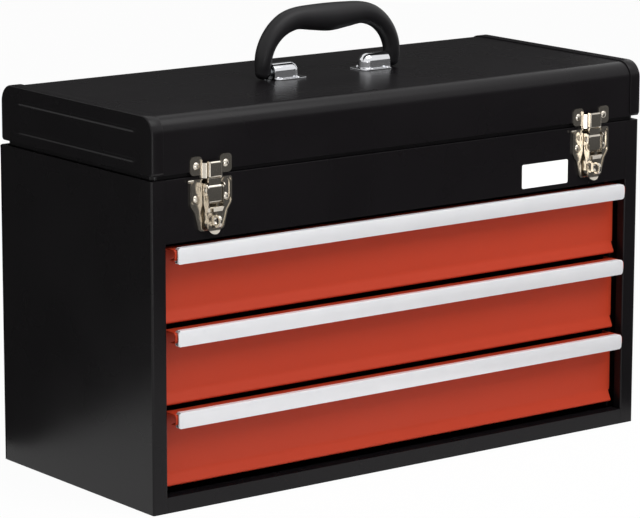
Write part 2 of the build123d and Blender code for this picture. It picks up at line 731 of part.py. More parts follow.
# --- handle --------------------------------------------------------------------------------------
def saddle_form(radius, start, end):
    """Half-round ridge on upright walls, domed at its inner end: start is where the dome begins."""
    floor = lid_sheet_top - SADDLE_BASE
    ridge = disc(radius, (lid_middle, handle_z))
    walls = Pos(lid_middle, (floor + handle_z) / 2) * Rectangle(2 * radius, handle_z - floor)
    form = along_x(ridge + walls, (start, end))
    form += along_z(disc(radius, (start, lid_middle)), (floor, handle_z))
    return form + Pos(start, lid_middle, handle_z) * Sphere(radius)


def handle_bracket():
    """Right saddle: a strap over the stud with a domed inner end and a flange on three sides."""
    inner = STUD_RADIUS + SADDLE_CLEARANCE
    outer = inner + SADDLE_WALL
    start = SADDLE_INNER + outer
    half, low = outer + SADDLE_FLANGE, lid_sheet_top
    plan = Pos((SADDLE_INNER - SADDLE_FLANGE + SADDLE_OUTER) / 2, lid_middle) * RectangleRounded(
        SADDLE_OUTER - SADDLE_INNER + SADDLE_FLANGE, 2 * half, SADDLE_FLANGE
    )
    bracket = along_z(plan, (low, low + SADDLE_BASE)) + saddle_form(outer, start, SADDLE_OUTER)
    bracket -= saddle_form(inner, start, SADDLE_OUTER + 1)
    span = (SADDLE_INNER - SADDLE_FLANGE - 1, SADDLE_OUTER + 1)
    return bracket - block(span, (lid_middle - half, lid_middle + half), (low - half, low))


def bracket_rivets():
    aside = STUD_RADIUS + SADDLE_CLEARANCE + SADDLE_WALL + SADDLE_FLANGE / 2
    z = lid_sheet_top + SADDLE_BASE
    ends = (SADDLE_INNER + SADDLE_RIVET_INSET, SADDLE_OUTER - SADDLE_RIVET_INSET)
    places = [(x, lid_middle + way * aside) for x in ends for way in (1, -1)]
    heads = [rivet((x, y, z), (0, 0, 1), SADDLE_RIVET) for x, y in places]
    return group(heads + [mirrored(head) for head in heads])


def handle_stud():
    """Stud that turns in the saddle, with a thinner spigot inside the grip's foot."""
    start = SADDLE_INNER + STUD_RADIUS + SADDLE_CLEARANCE + SADDLE_WALL + STUD_FLOAT
    foot = FOOT_PLACE - FOOT_HALF
    axis = (lid_middle, handle_z)
    stud = along_x(disc(STUD_RADIUS, axis), (start, foot - SHOULDER_GAP))
    return stud + along_x(disc(SPIGOT_RADIUS, axis), (foot - SHOULDER_GAP, foot + SPIGOT_LENGTH))


def grip_section(x, z, lean, half, depth):
    """An oval across the grip, at a height over the handle's axis."""
    across, along = cos(radians(lean)), sin(radians(lean))
    place = Plane(
        origin=(x, lid_middle, handle_z + z), x_dir=(across, 0, along), z_dir=(-along, 0, across)
    )
    return place * Ellipse(half, depth)


def handle_grip():
    """One loft from foot to foot, closed by round feet that turn just above the lid."""
    foot = (FOOT_PLACE, 0.0, 0.0, FOOT_HALF, FOOT_RADIUS)
    rising = [foot, *GRIP_STATIONS]
    falling = [(-x, z, 180 - lean, half, depth) for x, z, lean, half, depth in rising[-2::-1]]
    grip = loft([grip_section(*station) for station in rising + falling])
    oval = Plane.XY * Ellipse(FOOT_HALF, FOOT_RADIUS)
    upper = oval & Pos(0, FOOT_RADIUS) * Rectangle(2 * FOOT_HALF, 2 * FOOT_RADIUS)
    ball = Pos(FOOT_PLACE, lid_middle, handle_z) * revolve(upper, Axis.X)
    grip += [ball, mirrored(ball)]
    shoulder = FOOT_PLACE - FOOT_HALF
    seat = along_x(
        disc(SPIGOT_RADIUS, (lid_middle, handle_z)), (shoulder - 1, shoulder + SPIGOT_LENGTH)
    )
    return grip - seat - mirrored(seat)


# --- latches -------------------------------------------------------------------------------------
base_top = CABINET_HEIGHT - BASE_DROP
base_low = base_top - BASE_HEIGHT
base_face = front - LATCH_SHEET
cheek_in = CLAW_HALF + CHEEK_GAP
cheek_out = cheek_in + LATCH_SHEET
ear_in = cheek_out + EAR_GAP
ear_out = ear_in + LATCH_SHEET
tail_face = lever_y - TAIL_SET
eye_y = tail_face - EYE_CLEARANCE - EYE_BORE
eye_z = lever_z - EYE_DROP
eye_reach = EYE_BORE + EYE_WALL
catch_face = lid_front - LATCH_SHEET
lip_face = catch_face - CATCH_STAND
lip_top = lid_bottom + CATCH_LIP_TOP


def latch_base():
    """Pressed base: tapered plate with a raised rim, two ovals, ears for the lever and a peg."""
    waist, ankle = base_low + BASE_WAIST, base_low + BASE_ANKLE
    top, knee, heel, toe_corner = BASE_CORNERS

    def plan(inset):
        half, toe = LATCH_HALF - inset, BASE_TOE_HALF - inset
        low, high = base_low + inset, base_top - inset
        points = [
            (-half, high), (half, high), (half, waist), (half - BASE_ANKLE_IN, ankle),
            (toe, low), (-toe, low), (-half + BASE_ANKLE_IN, ankle), (-half, waist),
        ]
        return outline(points, [top, top, knee, heel, toe_corner, toe_corner, heel, knee])

    base = along_y(plan(0), (base_face, front))
    base += along_y(plan(0) - plan(BASE_RIM), (base_face - BASE_RIM_RISE, base_face))
    oval = (base_top - OVAL_DROP - OVAL_LENGTH, base_top - OVAL_DROP)
    inner = (oval[0] + OVAL_RIM, oval[1] - OVAL_RIM)
    for place in (-OVAL_PLACE, OVAL_PLACE):
        loop = slot(OVAL_HALF, *oval, place) - slot(OVAL_HALF - OVAL_RIM, *inner, place)
        base += along_y(loop, (base_face - BASE_RIM_RISE, base_face))
    ear_z = (lever_z - EAR_HALF_HEIGHT, lever_z + EAR_HALF_HEIGHT)
    nose = lever_y - EAR_NOSE
    ear = outline(
        [(front, ear_z[0]), (nose, ear_z[0]), (nose, ear_z[1]), (front, ear_z[1])], [0, EAR_CORNER, EAR_CORNER, 0]
    ) - disc(PIVOT_RADIUS, (lever_y, lever_z))
    for x in ((-ear_out, -ear_in), (ear_in, ear_out)):
        base += along_x(ear, x)
    peg_z = base_top - SIDE_PEG
    return base + along_x(
        disc(SIDE_PEG, (base_face - SIDE_PEG / 2, peg_z)),
        (-LATCH_HALF - SIDE_PEG_LENGTH, -LATCH_HALF + SIDE_PEG_LENGTH),
    )


def latch_base_rivets():
    z = base_top - OVAL_DROP - OVAL_LENGTH + OVAL_HALF
    sizes = (LATCH_RIVET, LATCH_RIVET_RISE)
    return [rivet((x, base_face, z), (0, -1, 0), *sizes) for x in (-OVAL_PLACE, OVAL_PLACE)]


def latch_pivot_rivets():
    """Two short pivots, each through an ear and a cheek, so that the claw passes between them."""
    centre = (lever_y, lever_z)
    shank = along_x(disc(PIVOT_RADIUS, centre), (cheek_in, ear_out))
    pivot = shank + rivet((ear_out, *centre), (1, 0, 0), PIVOT_HEAD)
    return [pivot, mirrored(pivot)]


def padlock_staple():
    """Flat staple with the padlock eye, seated on the base under the lever's slot."""
    shank = Pos((eye_y + base_face) / 2, eye_z) * Rectangle(base_face - eye_y, 2 * EYE_SHANK_HALF)
    shape = shank + disc(eye_reach, (eye_y, eye_z)) - disc(EYE_BORE, (eye_y, eye_z))
    return along_x(shape, (-EYE_HALF, EYE_HALF))


def latch_lever():
    """Channel-shaped lever: two cheeks on the pivots, a web below the claw and a slotted tail."""
    cheek_face = lever_y - CHEEK_FRONT
    cheek_back = lever_y + CHEEK_BACK
    step_z, slope_z = lever_z - TAIL_STEP, lever_z - TAIL_STEP - TAIL_SLOPE
    tail_back = tail_face + LATCH_SHEET
    cheek = outline(
        [
            (cheek_face, lever_z + CHEEK_TOP),
            (cheek_back, lever_z + CHEEK_TOP),
            (cheek_back, claw_z - CHEEK_TOE),
            (tail_back, slope_z - CHEEK_TOE),
            (tail_face, slope_z - CHEEK_TOE),
            (tail_face, slope_z),
            (cheek_face, step_z),
        ],
        [CHEEK_CORNER, CHEEK_CORNER, 4.0, 0.3, 0.3, 0.3, 0.3],
    )
    cheek -= disc(PIVOT_RADIUS + PIN_CLEARANCE, (lever_y, lever_z))
    cheek -= disc(CLAW_PIN_RADIUS, (claw_y, claw_z))
    lever = along_x(cheek, (cheek_in, cheek_out)) + along_x(cheek, (-cheek_out, -cheek_in))
    end = lever_z - TAIL_LENGTH
    web = along_x(
        bent_sheet(
            [
                (cheek_face, step_z),
                (tail_face, slope_z),
                (tail_face, end + TAIL_HALF / 2),
                (tail_face - TAIL_FLICK, end),
            ],
            LATCH_SHEET,
            [0.5, 4.0],
        ),
        (-cheek_out, cheek_out),
    )
    front_view = outline(
        [
            (-cheek_out, step_z + 1), (cheek_out, step_z + 1), (cheek_out, slope_z - 1),
            (TAIL_HALF, slope_z - TAIL_NECK), (TAIL_HALF, end), (-TAIL_HALF, end),
            (-TAIL_HALF, slope_z - TAIL_NECK), (-cheek_out, slope_z - 1),
        ],
        [0, 0, TAIL_EASE, TAIL_EASE, TAIL_HALF * 0.98, TAIL_HALF * 0.98, TAIL_EASE, TAIL_EASE],
    )
    gap = slot(SLOT_HALF, eye_z - eye_reach - SLOT_CLEARANCE, eye_z + eye_reach + SLOT_CLEARANCE)
    depth = (cheek_face - TAIL_FLICK - 1, cheek_back)
    return lever + (web & along_y(front_view - gap, depth))


def latch_claw_pin():
    return along_x(disc(CLAW_PIN_RADIUS, (claw_y, claw_z)), (-cheek_out, cheek_out))


def latch_claw():
    """Claw: an eye on its pin, a jogged strap and a nose bent back towards the catch's lip."""
    eye = CLAW_PIN_RADIUS + PIN_CLEARANCE
    low_face = claw_y - eye - CLAW_EYE_WALL
    high_face = lip_face - STRAP_OUT
    top = lip_top + HOOK_RISE
    low_jog, high_jog = lever_z + JOG_LOW, lever_z + JOG_HIGH
    path = [
        (low_face, claw_z),
        (low_face, low_jog),
        (low_face + JOG_DEPTH, low_jog + JOG_SLOPE),
        (low_face + JOG_DEPTH, high_jog),
        (high_face, high_jog + JOG_SHOULDER),
        (high_face, top),
        (lip_face - HOOK_GAP, top),
    ]
    strap = bent_sheet(path, -CLAW_WALL, [0.5, 0.5, 0.5, 0.5, 0.6])
    shape = strap + ring(eye + CLAW_EYE_WALL, eye, (claw_y, claw_z))
    claw = along_x(shape, (-CLAW_HALF, CLAW_HALF))
    upper = (high_jog + JOG_SHOULDER, top)
    for x in ((-CLAW_HALF, -CLAW_HALF + CLAW_WALL), (CLAW_HALF - CLAW_WALL, CLAW_HALF)):
        claw += block(x, (high_face, high_face + STRAP_SIDE), upper)
    corners = [
        (-CLAW_HALF, high_face), (CLAW_HALF, high_face), (CLAW_HALF, lip_face), (-CLAW_HALF, lip_face)
    ]
    rounded = along_z(outline(corners, [STRAP_EDGE, STRAP_EDGE, 0, 0]), upper)
    front = block((-CLAW_HALF, CLAW_HALF), (high_face, high_face + STRAP_EDGE), upper)
    return claw - (front - rounded)


def latch_catch():
    """Catch on the lid: two riveted lobes and a raised lip between them."""
    middle = LATCH_HALF - CATCH_LOBE / 2
    low = lid_bottom + CATCH_TOP - CATCH_LOBE_HEIGHT
    lobe = RectangleRounded(CATCH_LOBE, CATCH_LOBE_HEIGHT, CATCH_LOBE_CORNER)
    inner = LATCH_HALF - CATCH_LOBE
    path = [
        (-inner - CATCH_FLANK, catch_face),
        (-inner, catch_face),
        (-inner + CATCH_FLANK, lip_face),
        (inner - CATCH_FLANK, lip_face),
        (inner, catch_face),
        (inner + CATCH_FLANK, catch_face),
    ]
    catch = along_z(bent_sheet(path, LATCH_SHEET, 0.4), (lip_top - CATCH_LIP_HEIGHT, lip_top))
    for place in (-middle, middle):
        face = Pos(place, low + CATCH_LOBE_HEIGHT / 2) * lobe
        catch += along_y(face, (catch_face, lid_front))
    return catch


def latch_catch_rivets():
    middle = LATCH_HALF - CATCH_LOBE / 2
    z = lid_bottom + CATCH_TOP - CATCH_LOBE_HEIGHT / 2
    sizes = (LATCH_RIVET, LATCH_RIVET_RISE)
    return [rivet((x, catch_face, z), (0, -1, 0), *sizes) for x in (-middle, middle)]


def at_latch(shapes, way):
    return [Pos(way * (side - LATCH_INSET), 0, 0) * shape for shape in shapes]


# --- every node, in the order of assembly ----------------------------------------------------------
panel = side_panel()
nodes = {
    "base_pan": base_pan(),
    "side_panel_left": panel,
    "side_panel_right": mirrored(panel),
    "back_panel": back_panel(),
    "front_header": front_header(),
    "slide_channels": slide_channels(),
    "top_tray": top_tray(),
    "header_plate": header_plate(),
}

indices = range(len(DRAWERS))
nodes["cabinet_rails"] = group([half for i in indices for half in both(outer_rail(i)).solids()])
for i, name in enumerate(DRAWERS):
    nodes[f"drawer_front_{name}"] = drawer_front(i)
    nodes[f"drawer_pull_{name}"] = drawer_pull(i)
    nodes[f"drawer_tray_{name}"] = drawer_tray(i)
    nodes[f"drawer_rails_{name}"] = both(inner_rail(i))
    nodes[f"ball_cages_{name}"] = both(ball_cage(i))
    nodes[f"slide_balls_{name}"] = both(slide_balls(i))

cap = lid_end_cap()
nodes["lid_sheet"] = lid_sheet()
nodes["lid_end_cap_left"] = cap
nodes["lid_end_cap_right"] = mirrored(cap)
nodes["hinge_leaf_cabinet"] = hinge_leaf_cabinet()
nodes["hinge_leaf_lid"] = hinge_leaf_lid()
nodes["hinge_pin"] = hinge_pin()
nodes["hinge_rivets_cabinet"] = hinge_rivets(back + HINGE_SHEET, hinge_z - rivet_reach)
nodes["hinge_rivets_lid"] = hinge_rivets(lid_back + HINGE_SHEET, hinge_z + rivet_reach)

stay = lid_stay()
nodes["lid_stay_left"] = stay
nodes["lid_stay_right"] = mirrored(stay)
nodes["stay_pivot_studs"] = both(stay_stud(stay_lid_stud, -side + CAP_SHEET))
nodes["stay_guide_studs"] = both(stay_stud(stay_case_stud, -tray_half + SHEET))

bracket = handle_bracket()
nodes["handle_bracket_right"] = bracket
nodes["handle_bracket_left"] = mirrored(bracket)
nodes["handle_bracket_rivets"] = bracket_rivets()
nodes["handle_grip"] = handle_grip()
nodes["handle_studs"] = both(handle_stud())

fasteners = {
    "latch_base_rivets": latch_base_rivets(),
    "latch_pivot_rivets": latch_pivot_rivets(),
    "latch_catch_rivets": latch_catch_rivets(),
}
for name, shapes in fasteners.items():
    nodes[name] = group([piece for way in (-1, 1) for piece in at_latch(shapes, way)])
for name, way in (("left", -1), ("right", 1)):
    nodes[f"latch_base_{name}"] = at_latch([latch_base()], way)[0]
    nodes[f"padlock_staple_{name}"] = at_latch([padlock_staple()], way)[0]
    nodes[f"latch_lever_{name}"] = at_latch([latch_lever()], way)[0]
    nodes[f"latch_claw_pin_{name}"] = at_latch([latch_claw_pin()], way)[0]
    nodes[f"latch_claw_{name}"] = at_latch([latch_claw()], way)[0]
    nodes[f"latch_catch_{name}"] = at_latch([latch_catch()], way)[0]

os.makedirs("parts", exist_ok=True)
for name, shape in nodes.items():
    export_step(shape, f"parts/{name}.step")
print(len(nodes), "nodes")
print("handle axis y z", lid_middle, handle_z)
print("hinge axis y z", hinge_y, hinge_z)
print("stay studs", stay_lid_stud, stay_case_stud)
print("lever axis y z", lever_y, lever_z, "claw axis", claw_y, claw_z)
print("padlock eye y z", eye_y, eye_z)
print("drawers", [drawer_levels(i) for i in indices], "rails", [rail_middle(i) for i in indices])
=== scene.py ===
from math import cos, pi, radians, sin

import bmesh
import bpy
import numpy as np
from mathutils import Matrix, Vector


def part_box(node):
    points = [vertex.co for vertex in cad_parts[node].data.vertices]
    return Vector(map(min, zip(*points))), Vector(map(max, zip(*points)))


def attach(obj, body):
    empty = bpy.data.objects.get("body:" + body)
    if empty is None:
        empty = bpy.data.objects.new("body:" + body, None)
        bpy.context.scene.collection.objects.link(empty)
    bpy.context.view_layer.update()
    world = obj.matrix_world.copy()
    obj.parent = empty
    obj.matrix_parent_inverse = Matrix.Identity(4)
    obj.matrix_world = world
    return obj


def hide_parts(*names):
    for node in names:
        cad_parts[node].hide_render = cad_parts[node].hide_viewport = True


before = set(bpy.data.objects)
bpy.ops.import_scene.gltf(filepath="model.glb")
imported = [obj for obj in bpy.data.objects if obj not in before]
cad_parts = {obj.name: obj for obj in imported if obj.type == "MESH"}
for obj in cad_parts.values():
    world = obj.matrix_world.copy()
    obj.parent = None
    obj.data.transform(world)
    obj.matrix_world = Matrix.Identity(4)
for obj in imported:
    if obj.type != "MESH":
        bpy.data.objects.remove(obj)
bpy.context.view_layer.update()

# --- Cabinet shell ---------------------------------------------------------------------------------
# Side panels, base pan, back panel and header of 0.8 mm sheet steel, spot-welded and powder coated.
# The coat is satin black: a faint orange peel, a fine grain from the powder and a slightly uneven gloss.
MM = 0.001


def linear(code):
    """An sRGB hex colour as linear red, green, blue and alpha."""
    parts = np.array([int(code[i : i + 2], 16) for i in (1, 3, 5)]) / 255
    low, high = parts / 12.92, ((parts + 0.055) / 1.055) ** 2.4
    return (*np.where(parts <= 0.04045, low, high), 1.0)


def add(tree, kind, inputs=None, **settings):
    """Adds one shader node; inputs holds each socket's value, or the socket that feeds it."""
    made = tree.nodes.new("ShaderNode" + kind)
    for name, value in settings.items():
        setattr(made, name, value)
    for key, value in (inputs or {}).items():
        if isinstance(value, bpy.types.NodeSocket):
            tree.links.new(value, made.inputs[key])
        else:
            made.inputs[key].default_value = value
    return made


def new_material(name):
    """An empty material with its output node: returns the material, its tree and the surface socket."""
    material = bpy.data.materials.new(name)
    material.use_nodes = True
    material.node_tree.nodes.clear()
    out = add(material.node_tree, "OutputMaterial")
    return material, material.node_tree, out.inputs["Surface"]


def noise(tree, place, size, detail):
    """Cloudy pattern with patches of about the given size; most of its values are 0.3 to 0.7."""
    return add(tree, "TexNoise", {"Vector": place, "Scale": 1 / size, "Detail": detail}).outputs["Fac"]


def blend(tree, share, colour, shade):
    """Colour that goes from the first hex code to the second as the share rises."""
    inputs = {0: share, 6: linear(colour), 7: linear(shade)}
    return add(tree, "Mix", inputs, data_type="RGBA").outputs[2]


def between(tree, share, low, high, start=0.3, end=0.7):
    """Number that goes in a straight line from low to high as the share goes from start to end."""
    inputs = {"Value": share, "From Min": start, "From Max": end, "To Min": low, "To Max": high}
    return add(tree, "MapRange", inputs).outputs["Result"]


def relief(tree, height, strength, distance, under=None):
    """Surface direction over a pattern of bumps, which may lie on top of a coarser one."""
    inputs = {"Height": height, "Strength": strength, "Distance": distance}
    if under is not None:
        inputs["Normal"] = under
    return add(tree, "Bump", inputs).outputs["Normal"]


def powder_coat(name, colour, shade, gloss):
    """Powder coat over steel: waves of orange peel, the powder's specks, a cloudy colour and gloss."""
    peel, speck, cloud_size = 2.4 * MM, 0.45 * MM, 70 * MM
    material, tree, surface = new_material(name)
    place = add(tree, "TexCoord").outputs["Object"]
    cloud = noise(tree, place, cloud_size, detail=3.0)
    waves = noise(tree, place, peel, detail=1.0)
    specks = noise(tree, place, speck, detail=2.0)
    skin = relief(tree, waves, strength=0.35, distance=0.05 * MM)
    paint = add(
        tree,
        "BsdfPrincipled",
        {"Base Color": blend(tree, cloud, colour, shade),
         "Roughness": between(tree, cloud, gloss - 0.03, gloss + 0.04),
         "Specular IOR Level": 0.2,
         "Normal": relief(tree, specks, strength=0.3, distance=0.02 * MM, under=skin)},
    )
    tree.links.new(paint.outputs["BSDF"], surface)
    return material


def coat(material, *nodes):
    """Gives CAD nodes that stay in view their finish."""
    for node in nodes:
        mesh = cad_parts[node].data
        mesh.materials.clear()
        mesh.materials.append(material)


black_coat = powder_coat("satin black powder coat", "#0D0B0D", "#110F11", gloss=0.28)
coat(black_coat, "base_pan", "side_panel_left", "side_panel_right", "back_panel", "front_header")

# --- Slides ----------------------------------------------------------------------------------------
# Hat channels welded inside the cabinet, with ball-bearing rails between them and each drawer.
# The rails are rolled steel with a bright zinc plate: a cool metal with faint cloudy spangle.
DRAWERS = ("top", "middle", "bottom")


def plated_steel(name, colour, shade, low, high, cloud_size, wave=0.6 * MM, depth=0.004 * MM):
    """Plated metal whose roughness and tint drift in clouds, over a slightly wavy pressed surface."""
    material, tree, surface = new_material(name)
    place = add(tree, "TexCoord").outputs["Object"]
    cloud = noise(tree, place, cloud_size, detail=4.0)
    waves = noise(tree, place, wave, detail=2.0)
    metal = add(
        tree,
        "BsdfPrincipled",
        {"Base Color": blend(tree, cloud, colour, shade), "Metallic": 1.0,
         "Roughness": between(tree, cloud, low, high),
         "Normal": relief(tree, waves, strength=0.5, distance=depth)},
    )
    tree.links.new(metal.outputs["BSDF"], surface)
    return material


zinc_plate = plated_steel(
    "bright zinc plated steel", "#C9CBCC", "#AEB2B6", low=0.26, high=0.38, cloud_size=9 * MM
)
ball_steel = plated_steel(
    "polished ball steel", "#D6D6D6", "#CACACA", low=0.06, high=0.10, cloud_size=2 * MM
)
coat(black_coat, "slide_channels")
coat(zinc_plate, "cabinet_rails", *(f"drawer_rails_{d}" for d in DRAWERS))
coat(zinc_plate, *(f"ball_cages_{d}" for d in DRAWERS))
coat(ball_steel, *(f"slide_balls_{d}" for d in DRAWERS))

# --- Drawers ---------------------------------------------------------------------------------------
# Each drawer is a black tray behind a red front. The front is one folded sheet: lower lip that flares
# out, flat panel, flange over the finger gap and a curl that the aluminium strip slides over.
STRIP_HEIGHT = 13.0 * MM
STRIP_WALL = 1.2 * MM
STRIP_BOW = 0.7 * MM          # how far the strip's face bows out
STRIP_LIP = 5.2 * MM          # upper lip, over the flange
STRIP_HOOK = 4.9 * MM         # lower return
STRIP_HOOK_RISE = 2.8 * MM
STRIP_BEND = 0.5 * MM
STRIP_CORNER = 2.5 * MM       # rounded corners at the strip's ends
STRIP_SHORT = 3.5 * MM        # ends of the strip, inside the ends of the drawer front
BOW_POINTS = 13


def rounded(points, radii, closed=False, steps=8):
    """Turns corners of a path into arcs: an arc of radius r touches both runs, and starts
    r / tan(half the inside angle) from the corner."""
    points, out = np.array(points, float), []
    for i, radius in enumerate(radii):
        corner = points[i]
        if radius == 0 or (not closed and i in (0, len(points) - 1)):
            out.append(corner[None])
            continue
        a, b = points[i - 1] - corner, points[(i + 1) % len(points)] - corner
        a, b = a / np.linalg.norm(a), b / np.linalg.norm(b)
        half = np.arccos(np.clip(a @ b, -1, 1)) / 2
        centre = corner + (a + b) / np.linalg.norm(a + b) * radius / sin(half)
        u, v = corner + a * radius / np.tan(half) - centre, corner + b * radius / np.tan(half) - centre
        turn = pi - 2 * half
        t = np.linspace(0, 1, steps + 1)[:, None]
        out.append(centre + (np.sin((1 - t) * turn) * u + np.sin(t * turn) * v) / sin(turn))
    return np.concatenate(out)


def sheet_section(path, wall):
    """Closed section of a bent sheet: the path, and the path moved to its left by the wall along
    the mitre of its neighbouring runs."""
    run = np.diff(path, axis=0)
    run /= np.linalg.norm(run, axis=1)[:, None]
    left = np.c_[-run[:, 1], run[:, 0]]
    mitre = left[:-1] + left[1:]
    mitre /= 1 + (left[:-1] * left[1:]).sum(1)[:, None]
    moved = path + wall * np.concatenate([left[:1], mitre, left[-1:]])
    return np.concatenate([path, moved[::-1]])


def tube_faces(rings, count, closed=True, capped=True):
    """Faces between rings of points: quads around, and one face on each end."""
    i, j = np.meshgrid(np.arange(rings - 1), np.arange(count if closed else count - 1), indexing="ij")
    k = (j + 1) % count
    quads = np.stack([i * count + j, i * count + k, (i + 1) * count + k, (i + 1) * count + j], -1)
    faces = quads.reshape(-1, 4).tolist()
    if capped:
        faces += [list(range(count))[::-1], list(range((rings - 1) * count, rings * count))]
    return faces


def piece(name, points, faces, material, body, stands_for, slot, sharp=32, bevel=0.0):
    """Makes one finished piece from its points and faces and joins it to the frame."""
    mesh = bpy.data.meshes.new(name)
    mesh.from_pydata(np.asarray(points).reshape(-1, 3).tolist(), [], faces)
    turned = bmesh.new()
    turned.from_mesh(mesh)
    bmesh.ops.remove_doubles(turned, verts=turned.verts, dist=1e-7)
    bmesh.ops.recalc_face_normals(turned, faces=turned.faces)
    turned.to_mesh(mesh)
    turned.free()
    mesh.shade_smooth()
    mesh.set_sharp_from_angle(angle=radians(sharp))
    mesh.materials.append(material)
    made = bpy.data.objects.new(name, mesh)
    bpy.context.scene.collection.objects.link(made)
    if bevel:
        edge = made.modifiers.new("edge", "BEVEL")
        edge.width, edge.segments, edge.limit_method = bevel, 2, "ANGLE"
        edge.angle_limit, edge.harden_normals = radians(40), True
    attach(made, body)
    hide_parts(*stands_for)


def softened(node, material, body, width):
    """Finishes a copy of a CAD node: equal points are merged, flat groups of triangles become one
    face, and a small round of the given width is laid along each edge that turns by over 30 degrees."""
    turn = radians(30)
    shape = bmesh.new()
    shape.from_mesh(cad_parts[node].data)
    bmesh.ops.remove_doubles(shape, verts=shape.verts, dist=0.001 * MM)
    bmesh.ops.dissolve_limit(shape, angle_limit=radians(0.4), verts=shape.verts, edges=shape.edges)
    mesh = bpy.data.meshes.new(f"finished_{node}")
    shape.to_mesh(mesh)
    shape.free()
    mesh.shade_smooth()
    mesh.set_sharp_from_angle(angle=turn)
    mesh.materials.clear()
    mesh.materials.append(material)
    made = bpy.data.objects.new(f"finished_{node}", mesh)
    bpy.context.scene.collection.objects.link(made)
    edge = made.modifiers.new("edge", "BEVEL")
    edge.width, edge.segments, edge.limit_method = width, 2, "ANGLE"
    edge.angle_limit, edge.harden_normals = turn, True
    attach(made, body)
    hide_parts(node)


def along_x(section, xs):
    """A closed section in Y and Z carried along X: one copy of it per station."""
    xs = np.asarray(xs, float)
    points = np.empty((len(xs), len(section), 3))
    points[..., 0], points[..., 1:] = xs[:, None], section[None]
    return points.reshape(-1, 3), tube_faces(len(xs), len(section))


red_coat = powder_coat("satin red powder coat", "#AD3922", "#A93620", gloss=0.36)
tray_coat = powder_coat("black tray coat", "#131214", "#181719", gloss=0.42)


def aluminium(name, colour, shade):
    """Extruded and anodised aluminium: a soft metal with fine die lines along X."""
    line_width, cloud_size = 0.18 * MM, 30 * MM
    material, tree, surface = new_material(name)
    place = add(tree, "TexCoord").outputs["Object"]
    drawn = add(tree, "Mapping", {"Vector": place, "Scale": (0.02, 1.0, 1.0)}).outputs["Vector"]
    lines = noise(tree, drawn, line_width, detail=2.0)
    cloud = noise(tree, place, cloud_size, detail=3.0)
    metal = add(
        tree,
        "BsdfPrincipled",
        {"Base Color": blend(tree, cloud, colour, shade), "Metallic": 0.45,
         "Roughness": between(tree, lines, 0.46, 0.60, start=0.0, end=1.0), "Anisotropic": 0.4,
         "Normal": relief(tree, lines, strength=0.25, distance=0.01 * MM)},
    )
    tree.links.new(metal.outputs["BSDF"], surface)
    return material


strip_metal = aluminium("satin anodised aluminium", "#EAEAEC", "#E0E1E4")

for drawer in DRAWERS:
    softened(
        f"drawer_front_{drawer}", red_coat, f"drawer_{drawer}", width=0.15 * MM
    )
    coat(tray_coat, f"drawer_tray_{drawer}")

    # The strip's section: upper lip, face that bows out by the square of the height, hook.
    strip_low, strip_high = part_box(f"drawer_pull_{drawer}")
    top, low, face = strip_high.z, strip_high.z - STRIP_HEIGHT, strip_low.y
    edge = face + STRIP_BOW
    bow = np.linspace(-1, 1, BOW_POINTS)
    path = np.concatenate([
        [(edge + STRIP_LIP, top)],
        np.c_[face + STRIP_BOW * bow**2, top - STRIP_HEIGHT * (1 + bow) / 2],
        [(edge + STRIP_HOOK, low), (edge + STRIP_HOOK, low + STRIP_HOOK_RISE)],
    ])
    radii = [0, STRIP_BEND] + [0] * (BOW_POINTS - 2) + [STRIP_BEND, STRIP_BEND, 0]
    section = sheet_section(rounded(path, radii, steps=3), STRIP_WALL)
    # Distance of each point of the section above the straight part decides how far the end is cut.
    straight = STRIP_HEIGHT / 2 - STRIP_CORNER
    over = np.clip(np.abs(section[:, 1] - (top + low) / 2) - straight, 0, STRIP_CORNER)
    cut = STRIP_CORNER - np.sqrt(STRIP_CORNER**2 - over**2)
    half_length = strip_high.x - STRIP_SHORT
    points, faces = along_x(section, [-half_length, half_length])
    points[: len(section), 0] += cut
    points[len(section) :, 0] -= cut
    piece(
        f"pull_strip_{drawer}",
        points,
        faces,
        strip_metal,
        f"drawer_{drawer}",
        (f"drawer_pull_{drawer}",),
        "satin_aluminium",
        bevel=0.12 * MM,
    )

# --- Top tray --------------------------------------------------------------------------------------
# Open tray under the lid, folded from sheet with a hemmed rim, in the same black coat. It rests on the
# upper ends of the hat channels.
coat(black_coat, "top_tray")

# --- Lid -------------------------------------------------------------------------------------------
# One sheet folded over the front, top and back edges, with a hem along its front edge. A pressed cap
# laps over each end and has two long beads that stiffen it.
LID_SHEET = 0.8 * MM
CAP_SHEET = 1.0 * MM
LID_RADIUS = 14.8 * MM        # outside of the long edges, on the caps
CAP_LAP = 11.0 * MM           # width of the caps' flange
CAP_HEEL = 3.0 * MM           # radius of the caps' lower corners
CAP_EDGE = 1.2 * MM           # pressed radius round a cap
LAP_EDGE = 0.3 * MM           # eased edge of the flange
BEAD_HALF, BEAD_DEPTH = 2.6 * MM, 0.75 * MM
BEAD_DROPS = (13.0 * MM, 37.0 * MM)   # middles of the beads below the lid's top
BEAD_REACH = 88.0 * MM        # a bead's ends from its middle
BEAD_FADE = 6.0 * MM          # length over which a bead runs out flat
SPINE_INSET = 22.0 * MM       # ends of the cap's middle line, from the front and the back
RIM_POINTS, WALL_RINGS = 900, 80

sheet_low, sheet_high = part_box("lid_sheet")
cap_low, cap_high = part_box("lid_end_cap_left")
lid_low, lid_top = sheet_low.z, cap_high.z
lid_front, lid_back = sheet_low.y, sheet_high.y
lid_end = -cap_low.x

